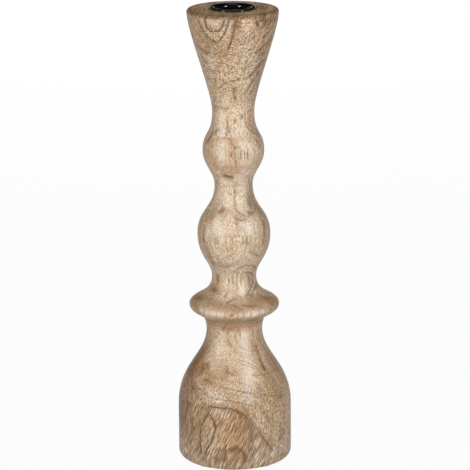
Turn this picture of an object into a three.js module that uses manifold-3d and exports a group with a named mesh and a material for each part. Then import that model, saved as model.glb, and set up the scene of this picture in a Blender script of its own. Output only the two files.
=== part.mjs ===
// Turned wooden candle holder for one taper candle.
// Millimetres, +Z up. The origin is the middle of the plane that the felt pads stand on.
// The wood is one turned blank. A black pressed-steel cup drops into a bore in its flat top,
// one countersunk screw holds the cup down, and four felt pads lie under the base.

import * as THREE from 'three';
import { mergeVertices } from 'three/addons/utils/BufferGeometryUtils.js';
import Module from 'manifold-3d';

// Turned body: radii from the foot up
const BASE_RADIUS = 37.2;
const NECK_RADIUS = 18.3;
const NECK_FLARE = 1.8;
const COLLAR_RADIUS = 29.5;
const LOWER_WAIST_RADIUS = 14.5;
const LOWER_BEAD_RADIUS = 23.8;
const MIDDLE_WAIST_RADIUS = 12.4;
const UPPER_BEAD_RADIUS = 20;
const UPPER_WAIST_RADIUS = 13.6;
const TOP_RADIUS = 29.6;

// Turned body: its whole height, and those of its stretches from the foot up. The flare at the
// top takes what they leave.
const BODY_HEIGHT = 300;
const FOOT_ROUNDING = 4.8;
const BASE_WALL = 31.3;
const SHOULDER_RISE = 51.4;
const NECK_RISE = 8.2;
const COLLAR_UNDERSIDE_RISE = 8.6;
const COLLAR_TOP_RISE = 19;
const LOWER_BEAD_FOOT_RISE = 28.5;
const LOWER_BEAD_HEAD_RISE = 33;
const UPPER_BEAD_FOOT_RISE = 22.6;
const UPPER_BEAD_HEAD_RISE = 25.8;
const TOP_ROUNDING = 1.9;

// Turned body: how far each curve runs straight up at its lower and its upper end,
// as shares of its rise. A large share makes a full bead or a wide cove.
const SHOULDER_FULLNESS = [0.5, 0.35];
const NECK_FULLNESS = 0.45;
const COLLAR_UNDERSIDE_FULLNESS = [0.37, 0.48];
const COLLAR_TOP_FULLNESS = [0.32, 0.7];
const LOWER_BEAD_FOOT_FULLNESS = [0.32, 0.53];
const LOWER_BEAD_HEAD_FULLNESS = [0.48, 0.49];
const UPPER_BEAD_FOOT_FULLNESS = [0.35, 0.42];
const UPPER_BEAD_HEAD_FULLNESS = [0.48, 0.62];
const FLARE_FULLNESS = [0.2, 0.19];

// Lathe centre's mark in the middle of the underside
const CENTRE_MARK_RADIUS = 2;
const CENTRE_MARK_DEPTH = 2.5;

// Candle cup, drawn from one sheet for a taper with a 22 mm foot. Bends are measured on the
// hollow side of the sheet. The rim's edge is bent down and stands on the wood.
const CUP_BORE_RADIUS = 11;
const CUP_DEPTH = 25;
const SHEET = 0.6;
const FLOOR_BEND = 1.4;
const LIP_BEND_WIDTH = 1.3;
const LIP_BEND_HEIGHT = 2;
const CROWN_WIDTH = 1.2;
const EDGE_BEND = 0.3;
const EDGE_DROP = 0.4;
const BORE_MOUTH_CHAMFER = 0.8;
const CUP_SIDE_CLEARANCE = 0.3;
const CUP_FLOOR_CLEARANCE = 0.3;

// Countersunk screw through the cup's floor
const SCREW_HEAD_RADIUS = 3.5;
const SCREW_SHANK_RADIUS = 1.75;
const SCREW_LENGTH = 20;
const SCREW_POINT = 3;
const SCREW_HEAD_LAND = 0.3;
const SCREW_CLEARANCE = 0.3;
const RECESS_SPAN = 3.4;
const RECESS_WIDTH = 0.9;
const RECESS_DEPTH = 1.1;
const PILOT_TIP_CLEARANCE = 1;

// Felt pads
const PAD_COUNT = 4;
const PAD_RADIUS = 6;
const PAD_THICKNESS = 1.5;
const PAD_EDGE_MARGIN = 1.4;

// Facets
const BODY_SIDES = 56;
const CUP_SIDES = 48;
const SCREW_SIDES = 24;
const PAD_SIDES = 24;
const CURVE_STEPS = 7;
const ROUNDING_STEPS = 4;
const BEND_STEPS = 2;

const QUARTER_TURN = Math.PI / 2;

// The cup's floor is pressed down round the screw, to a cone at 45 degrees that the screw's
// head lies in. Heights are from the wood's top face, so the floor is below zero.
const CUP_FLOOR = -CUP_DEPTH;
const CUP_OUTER_RADIUS = CUP_BORE_RADIUS + SHEET;
const SCREW_HOLE_RADIUS = SCREW_SHANK_RADIUS + SCREW_CLEARANCE;
const DIMPLE_RADIUS = SCREW_HEAD_RADIUS + SCREW_HEAD_LAND + SCREW_CLEARANCE;
const DIMPLE_DEPTH = DIMPLE_RADIUS - SCREW_HOLE_RADIUS;

const wasm = await Module();
wasm.setup();

const wood = new THREE.MeshStandardMaterial({ color: 0xb39470, roughness: 0.55, metalness: 0 });
const blackSteel = new THREE.MeshStandardMaterial({ color: 0x15161a, roughness: 0.25, metalness: 0.5 });
const screwSteel = new THREE.MeshStandardMaterial({ color: 0x8c8a84, roughness: 0.35, metalness: 1 });
const felt = new THREE.MeshStandardMaterial({ color: 0x4a3a2c, roughness: 1, metalness: 0 });

// Closes a geometry: shared corners are merged, and the empty triangles at the axis go.
function closed(geometry) {
  geometry.deleteAttribute('normal');
  geometry.deleteAttribute('uv');
  const merged = mergeVertices(geometry, 1e-4);
  const corners = merged.index.array;
  const kept = [];
  for (let i = 0; i < corners.length; i += 3) {
    const [a, b, c] = corners.subarray(i, i + 3);
    if (a !== b && b !== c && c !== a) kept.push(a, b, c);
  }
  merged.setIndex(kept);
  merged.computeVertexNormals();
  return merged;
}

// Spins an outline of (radius, height) points about the Z axis.
function turned(points, sides) {
  const geometry = new THREE.LatheGeometry(points, sides);
  geometry.rotateX(QUARTER_TURN);
  return closed(geometry);
}

function toManifold(geometry) {
  const mesh = new wasm.Mesh({
    numProp: 3,
    vertProperties: new Float32Array(geometry.attributes.position.array),
    triVerts: new Uint32Array(geometry.index.array),
  });
  return new wasm.Manifold(mesh);
}

function fromManifold(solid) {
  const mesh = solid.getMesh();
  const geometry = new THREE.BufferGeometry();
  geometry.setAttribute('position', new THREE.BufferAttribute(mesh.vertProperties, 3));
  geometry.setIndex(new THREE.BufferAttribute(mesh.triVerts, 1));
  geometry.computeVertexNormals();
  return geometry;
}

function named(name, geometry, material) {
  const mesh = new THREE.Mesh(geometry, material);
  mesh.name = name;
  return mesh;
}

// The outside of the wood as one path, from the underside's rim to the top face's rim.
// Every bead and waist is met with an upright tangent, so the curves flow into each other.
function bodyOutside() {
  const path = new THREE.Path();
  let radius = BASE_RADIUS;
  let height = 0;

  function sweepTo(nextRadius, rise, [below, above]) {
    const top = height + rise;
    path.bezierCurveTo(radius, height + below * rise, nextRadius, top - above * rise, nextRadius, top);
    radius = nextRadius;
    height = top;
  }

  path.moveTo(BASE_RADIUS - FOOT_ROUNDING, 0);
  path.absarc(BASE_RADIUS - FOOT_ROUNDING, FOOT_ROUNDING, FOOT_ROUNDING, -QUARTER_TURN, 0);
  height = FOOT_ROUNDING + BASE_WALL;
  path.lineTo(BASE_RADIUS, height);
  sweepTo(NECK_RADIUS, SHOULDER_RISE, SHOULDER_FULLNESS);

  // The neck's cove ends in a crisp corner where the collar springs out.
  const root = height + NECK_RISE;
  const rootRadius = NECK_RADIUS + NECK_FLARE;
  path.quadraticCurveTo(NECK_RADIUS, height + NECK_FULLNESS * NECK_RISE, rootRadius, root);
  const [belowEdge, aboveEdge] = COLLAR_UNDERSIDE_FULLNESS;
  const edge = root + COLLAR_UNDERSIDE_RISE;
  path.bezierCurveTo(
    rootRadius + belowEdge * (COLLAR_RADIUS - rootRadius),
    root + belowEdge * COLLAR_UNDERSIDE_RISE,
    COLLAR_RADIUS,
    edge - aboveEdge * COLLAR_UNDERSIDE_RISE,
    COLLAR_RADIUS,
    edge,
  );
  radius = COLLAR_RADIUS;
  height = edge;

  sweepTo(LOWER_WAIST_RADIUS, COLLAR_TOP_RISE, COLLAR_TOP_FULLNESS);
  sweepTo(LOWER_BEAD_RADIUS, LOWER_BEAD_FOOT_RISE, LOWER_BEAD_FOOT_FULLNESS);
  sweepTo(MIDDLE_WAIST_RADIUS, LOWER_BEAD_HEAD_RISE, LOWER_BEAD_HEAD_FULLNESS);
  sweepTo(UPPER_BEAD_RADIUS, UPPER_BEAD_FOOT_RISE, UPPER_BEAD_FOOT_FULLNESS);
  sweepTo(UPPER_WAIST_RADIUS, UPPER_BEAD_HEAD_RISE, UPPER_BEAD_HEAD_FULLNESS);
  sweepTo(TOP_RADIUS, BODY_HEIGHT - TOP_ROUNDING - height, FLARE_FULLNESS);
  path.absarc(TOP_RADIUS - TOP_ROUNDING, height, TOP_ROUNDING, 0, QUARTER_TURN);
  return path;
}

// Few points on the two small roundings and more on the long curves.
function bodyOutsidePoints() {
  const points = [];
  for (const curve of bodyOutside().curves) {
    const steps = curve.isEllipseCurve ? ROUNDING_STEPS : CURVE_STEPS;
    const stretch = curve.getPoints(curve.isLineCurve ? 1 : steps);
    points.push(...(points.length > 0 ? stretch.slice(1) : stretch));
  }
  return points;
}

// Turned body: outside, flat top, bore for the cup, seat for its dimple and pilot hole.
function makeTurnedBody() {
  const boreRadius = CUP_OUTER_RADIUS + CUP_SIDE_CLEARANCE;
  const boreFloor = BODY_HEIGHT + CUP_FLOOR - SHEET - CUP_FLOOR_CLEARANCE;
  const seatRadius = DIMPLE_RADIUS + CUP_SIDE_CLEARANCE;
  const seatBottom = boreFloor - DIMPLE_DEPTH;
  const pilotBottom = BODY_HEIGHT + CUP_FLOOR - SCREW_LENGTH - PILOT_TIP_CLEARANCE;

  const points = [
    new THREE.Vector2(0, CENTRE_MARK_DEPTH),
    new THREE.Vector2(CENTRE_MARK_RADIUS, 0),
    ...bodyOutsidePoints(),
    new THREE.Vector2(boreRadius + BORE_MOUTH_CHAMFER, BODY_HEIGHT),
    new THREE.Vector2(boreRadius, BODY_HEIGHT - BORE_MOUTH_CHAMFER),
    new THREE.Vector2(boreRadius, boreFloor),
    new THREE.Vector2(seatRadius, boreFloor),
    new THREE.Vector2(seatRadius, seatBottom),
    new THREE.Vector2(SCREW_HOLE_RADIUS, seatBottom),
    new THREE.Vector2(SCREW_HOLE_RADIUS, pilotBottom),
    new THREE.Vector2(0, pilotBottom - SCREW_HOLE_RADIUS),
  ];
  return turned(points, BODY_SIDES);
}

// Candle cup: one sheet, drawn to a straight wall with a rounded corner at the floor, a lip that
// leads the candle in, and a rim whose edge is bent down to the wood. The floor has a conical
// dimple and a hole for the screw. The path runs out along the underside and back inside.
function makeCandleCup() {
  const crownInside = CUP_OUTER_RADIUS + LIP_BEND_WIDTH;
  const crownOutside = crownInside + CROWN_WIDTH;
  const rimRadius = crownOutside + EDGE_BEND + SHEET;
  const crownTop = EDGE_DROP + EDGE_BEND + SHEET;
  const lipCentre = crownTop - SHEET - LIP_BEND_HEIGHT;
  const floorUnderside = CUP_FLOOR - SHEET;
  const floorCorner = CUP_BORE_RADIUS - FLOOR_BEND;
  const cornerCentre = CUP_FLOOR + FLOOR_BEND;
  const dimpleBottom = CUP_FLOOR - DIMPLE_DEPTH;

  const path = new THREE.Path();
  path.moveTo(SCREW_HOLE_RADIUS, dimpleBottom - SHEET);
  path.lineTo(DIMPLE_RADIUS, floorUnderside);
  path.lineTo(floorCorner, floorUnderside);
  path.absarc(floorCorner, cornerCentre, FLOOR_BEND + SHEET, -QUARTER_TURN, 0);
  path.lineTo(CUP_OUTER_RADIUS, lipCentre);
  path.absellipse(crownInside, lipCentre, LIP_BEND_WIDTH, LIP_BEND_HEIGHT, Math.PI, QUARTER_TURN, true);
  path.lineTo(crownOutside, crownTop - SHEET);
  path.absarc(crownOutside, EDGE_DROP, EDGE_BEND, QUARTER_TURN, 0, true);
  path.lineTo(rimRadius - SHEET, 0);
  path.lineTo(rimRadius, 0);
  path.lineTo(rimRadius, EDGE_DROP);
  path.absarc(crownOutside, EDGE_DROP, EDGE_BEND + SHEET, 0, QUARTER_TURN);
  path.lineTo(crownInside, crownTop);
  path.absellipse(
    crownInside, lipCentre, LIP_BEND_WIDTH + SHEET, LIP_BEND_HEIGHT + SHEET, QUARTER_TURN, Math.PI,
  );
  path.lineTo(CUP_BORE_RADIUS, cornerCentre);
  path.absarc(floorCorner, cornerCentre, FLOOR_BEND, 0, -QUARTER_TURN, true);
  path.lineTo(DIMPLE_RADIUS, CUP_FLOOR);
  path.lineTo(SCREW_HOLE_RADIUS, dimpleBottom);
  path.closePath();
  return turned(path.getPoints(BEND_STEPS), CUP_SIDES);
}

// Countersunk wood screw with a cross recess. Its origin is the middle of its flat head.
function makeCupScrew() {
  const neck = -SCREW_HEAD_LAND - (SCREW_HEAD_RADIUS - SCREW_SHANK_RADIUS);
  const points = [
    new THREE.Vector2(0, -SCREW_LENGTH),
    new THREE.Vector2(SCREW_SHANK_RADIUS, SCREW_POINT - SCREW_LENGTH),
    new THREE.Vector2(SCREW_SHANK_RADIUS, neck),
    new THREE.Vector2(SCREW_HEAD_RADIUS, -SCREW_HEAD_LAND),
    new THREE.Vector2(SCREW_HEAD_RADIUS, 0),
    new THREE.Vector2(0, 0),
  ];
  let screw = toManifold(turned(points, SCREW_SIDES));
  for (const quarterTurns of [0, 1]) {
    const slot = new THREE.BoxGeometry(RECESS_SPAN, RECESS_WIDTH, 2 * RECESS_DEPTH);
    slot.rotateZ(quarterTurns * QUARTER_TURN);
    screw = screw.subtract(toManifold(closed(slot)));
  }
  return fromManifold(screw);
}

// Felt pad: a plain disc that stands on the origin's plane.
function makeFeltPad() {
  const points = [
    new THREE.Vector2(0, 0),
    new THREE.Vector2(PAD_RADIUS, 0),
    new THREE.Vector2(PAD_RADIUS, PAD_THICKNESS),
    new THREE.Vector2(0, PAD_THICKNESS),
  ];
  return turned(points, PAD_SIDES);
}

const candleHolder = new THREE.Group();

// The wood stands on the pads.
const body = named('turned_body', makeTurnedBody(), wood);
body.position.z = PAD_THICKNESS;
candleHolder.add(body);

// The cup and its screw hang from the wood's top face.
const fittings = new THREE.Group();
fittings.position.z = PAD_THICKNESS + BODY_HEIGHT;
candleHolder.add(fittings);
fittings.add(named('candle_cup', makeCandleCup(), blackSteel));
const screw = named('cup_screw', makeCupScrew(), screwSteel);
screw.position.z = CUP_FLOOR;
fittings.add(screw);

// The pads lie evenly round the underside, just inside its rounded edge.
const padCircle = BASE_RADIUS - FOOT_ROUNDING - PAD_EDGE_MARGIN - PAD_RADIUS;
const padStep = (2 * Math.PI) / PAD_COUNT;
for (let i = 0; i < PAD_COUNT; i += 1) {
  const angle = (i + 0.5) * padStep;
  const pad = named(`felt_pad_${i + 1}`, makeFeltPad(), felt);
  pad.position.set(padCircle * Math.cos(angle), padCircle * Math.sin(angle), 0);
  candleHolder.add(pad);
}

export default candleHolder;
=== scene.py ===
import math
from functools import partial

import bmesh
import bpy
import numpy
from mathutils import Matrix, Vector
from mathutils.geometry import interpolate_bezier


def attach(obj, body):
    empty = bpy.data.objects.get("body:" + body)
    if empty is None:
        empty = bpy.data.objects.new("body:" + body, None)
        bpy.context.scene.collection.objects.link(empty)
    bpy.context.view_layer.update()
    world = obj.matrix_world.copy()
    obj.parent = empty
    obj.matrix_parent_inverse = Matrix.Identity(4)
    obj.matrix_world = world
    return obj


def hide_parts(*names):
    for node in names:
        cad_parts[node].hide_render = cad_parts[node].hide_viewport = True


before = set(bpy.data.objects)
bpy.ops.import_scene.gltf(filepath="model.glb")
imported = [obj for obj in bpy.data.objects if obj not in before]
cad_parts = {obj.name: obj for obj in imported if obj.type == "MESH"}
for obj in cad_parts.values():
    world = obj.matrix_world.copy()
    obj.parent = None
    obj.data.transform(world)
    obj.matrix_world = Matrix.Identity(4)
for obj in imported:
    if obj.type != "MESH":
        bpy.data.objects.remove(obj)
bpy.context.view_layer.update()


# Camera. It looks down on the holder from the front, close enough that the top face is seen
# flatter than the foot, and leans over by a third of a degree.
CAMERA_DISTANCE = 1.689
CAMERA_HEIGHT = 0.5958
CAMERA_SIDE = 0.00074
CAMERA_TILT = math.radians(14.73)
CAMERA_LEAN = math.radians(-0.315)
CAMERA_LENS = 204.9
CAMERA_SENSOR = 36

camera = bpy.data.objects.new("camera", bpy.data.cameras.new("camera"))
camera.data.sensor_width = CAMERA_SENSOR
camera.data.lens = CAMERA_LENS
camera.matrix_world = (
    Matrix.Translation((CAMERA_SIDE, -CAMERA_DISTANCE, CAMERA_HEIGHT))
    @ Matrix.Rotation(math.pi / 2 - CAMERA_TILT, 4, "X")
    @ Matrix.Rotation(CAMERA_LEAN, 4, "Z")
)
bpy.context.collection.objects.link(camera)
bpy.context.scene.camera = camera


# Turned body. One solid blank of pale tan hardwood with open pores, turned between centres:
# a round base block, a neck, a sharp collar, two beads and a flared head with a flat top.
# The head is bored for the candle cup, and the whole is sanded and thinly oiled.
PAD_THICKNESS = 0.0015
BODY_HEIGHT = 0.300
BASE_RADIUS = 0.0372
NECK_RADIUS = 0.0183
NECK_FLARE = 0.0018
COLLAR_RADIUS = 0.0295
LOWER_WAIST_RADIUS = 0.0145
LOWER_BEAD_RADIUS = 0.0238
MIDDLE_WAIST_RADIUS = 0.0124
UPPER_BEAD_RADIUS = 0.0200
UPPER_WAIST_RADIUS = 0.0136
TOP_RADIUS = 0.0296
FOOT_ROUNDING = 0.0048
BASE_WALL = 0.0313
SHOULDER_RISE = 0.0514
NECK_RISE = 0.0082
NECK_FULLNESS = 0.45
COLLAR_UNDERSIDE_RISE = 0.0086
COLLAR_UNDERSIDE_FULLNESS = (0.37, 0.48)
TOP_ROUNDING = 0.0019
# Each long curve between the collar and the head: the radius it ends at, its rise, and how far
# it runs straight up at its lower and its upper end, as shares of the rise.
COLLAR_TO_HEAD = (
    (LOWER_WAIST_RADIUS, 0.0190, 0.32, 0.70),
    (LOWER_BEAD_RADIUS, 0.0285, 0.32, 0.53),
    (MIDDLE_WAIST_RADIUS, 0.0330, 0.48, 0.49),
    (UPPER_BEAD_RADIUS, 0.0226, 0.35, 0.42),
    (UPPER_WAIST_RADIUS, 0.0258, 0.48, 0.62),
)
WALL_FULLNESS = (0.33, 0.33)
SHOULDER_FULLNESS = (0.5, 0.35)
FLARE_FULLNESS = (0.2, 0.19)
BORE_RADIUS = 0.0119
BORE_DEPTH = 0.0259
BORE_MOUTH_CHAMFER = 0.0008
SEAT_RADIUS = 0.0044
SEAT_DEPTH = 0.02795
PILOT_RADIUS = 0.00205
PILOT_DEPTH = 0.0460
CENTRE_MARK_RADIUS = 0.0020
CENTRE_MARK_DEPTH = 0.0025
OUTLINE_STEP = 0.00105
CURVE_LEAST_POINTS = 8
BODY_SIDES = 288
MERGE_DISTANCE = 1e-7
WOOD_TOP = PAD_THICKNESS + BODY_HEIGHT


def arc(centre, width, height, start, end, points):
    """Points of an elliptic arc in the plane of the axis, as (radius, height)."""
    turns = [math.radians(start + (end - start) * i / (points - 1)) for i in range(points)]
    return [(centre[0] + width * math.cos(a), centre[1] + height * math.sin(a)) for a in turns]


def curve(*corners):
    """Evenly spaced points of a cubic curve in the plane of the axis, without its first point."""
    ends = [Vector((r, 0, z)) for r, z in corners]
    points = max(CURVE_LEAST_POINTS, round((ends[0] - ends[3]).length / OUTLINE_STEP))
    return [(p.x, p.z) for p in interpolate_bezier(*ends, points)][1:]


def body_outline():
    """The outside of the wood from the underside's rim to the top face's rim."""
    foot = (BASE_RADIUS - FOOT_ROUNDING, PAD_THICKNESS + FOOT_ROUNDING)
    outline = arc(foot, FOOT_ROUNDING, FOOT_ROUNDING, -90, 0, points=10)

    def sweep(radius, rise, below, above):
        last, height = outline[-1]
        top = height + rise
        lower, upper = (last, height + below * rise), (radius, top - above * rise)
        outline.extend(curve((last, height), lower, upper, (radius, top)))

    sweep(BASE_RADIUS, BASE_WALL, *WALL_FULLNESS)
    sweep(NECK_RADIUS, SHOULDER_RISE, *SHOULDER_FULLNESS)
    neck = outline[-1]
    root = (NECK_RADIUS + NECK_FLARE, neck[1] + NECK_RISE)
    knee = (NECK_RADIUS, neck[1] + NECK_FULLNESS * NECK_RISE)
    handles = [tuple(a + (b - a) * 2 / 3 for a, b in zip(end, knee)) for end in (neck, root)]
    outline.extend(curve(neck, *handles, root))
    below, above = COLLAR_UNDERSIDE_FULLNESS
    edge = root[1] + COLLAR_UNDERSIDE_RISE
    outline.extend(curve(
        root,
        (root[0] + below * (COLLAR_RADIUS - root[0]), root[1] + below * COLLAR_UNDERSIDE_RISE),
        (COLLAR_RADIUS, edge - above * COLLAR_UNDERSIDE_RISE),
        (COLLAR_RADIUS, edge),
    ))
    for stretch in COLLAR_TO_HEAD:
        sweep(*stretch)
    sweep(TOP_RADIUS, WOOD_TOP - TOP_ROUNDING - outline[-1][1], *FLARE_FULLNESS)
    rim = (TOP_RADIUS - TOP_ROUNDING, outline[-1][1])
    outline.extend(arc(rim, TOP_ROUNDING, TOP_ROUNDING, 0, 90, points=7)[1:])
    return outline


def revolve(work, outline, sides, closed=False):
    """Spins an outline of (radius, height) points about the Z axis, in a mesh in the making."""
    corners = [work.verts.new((r, 0, z)) for r, z in outline]
    edges = [work.edges.new(pair) for pair in zip(corners, corners[1:])]
    if closed:
        edges.append(work.edges.new((corners[-1], corners[0])))
    bmesh.ops.spin(
        work, geom=corners + edges, cent=(0, 0, 0), axis=(0, 0, 1), angle=2 * math.pi, steps=sides,
        use_merge=True,
    )
    bmesh.ops.remove_doubles(work, verts=work.verts, dist=MERGE_DISTANCE)


def finished(name, work, crease):
    """The piece of a mesh in the making, faced outwards and smoothed up to its creases."""
    bmesh.ops.recalc_face_normals(work, faces=work.faces)
    mesh = bpy.data.meshes.new(name)
    work.to_mesh(mesh)
    work.free()
    mesh.shade_smooth()
    mesh.set_sharp_from_angle(angle=math.radians(crease))
    piece = bpy.data.objects.new(name, mesh)
    bpy.context.collection.objects.link(piece)
    return piece


def spun(name, outline, sides, crease, closed=False):
    """A closed piece spun about the Z axis from (radius, height) points."""
    work = bmesh.new()
    revolve(work, outline, sides, closed)
    return finished(name, work, crease)


wood_outline = body_outline()
underside = [(0, PAD_THICKNESS + CENTRE_MARK_DEPTH), (CENTRE_MARK_RADIUS, PAD_THICKNESS)]
bore = [
    (BORE_RADIUS + BORE_MOUTH_CHAMFER, WOOD_TOP),
    (BORE_RADIUS, WOOD_TOP - BORE_MOUTH_CHAMFER),
    (BORE_RADIUS, WOOD_TOP - BORE_DEPTH),
    (SEAT_RADIUS, WOOD_TOP - BORE_DEPTH),
    (SEAT_RADIUS, WOOD_TOP - SEAT_DEPTH),
    (PILOT_RADIUS, WOOD_TOP - SEAT_DEPTH),
    (PILOT_RADIUS, WOOD_TOP - PILOT_DEPTH),
    (0, WOOD_TOP - PILOT_DEPTH - PILOT_RADIUS),
]
turned_wood = spun("turned_wood", underside + wood_outline + bore, BODY_SIDES, crease=28)


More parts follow.
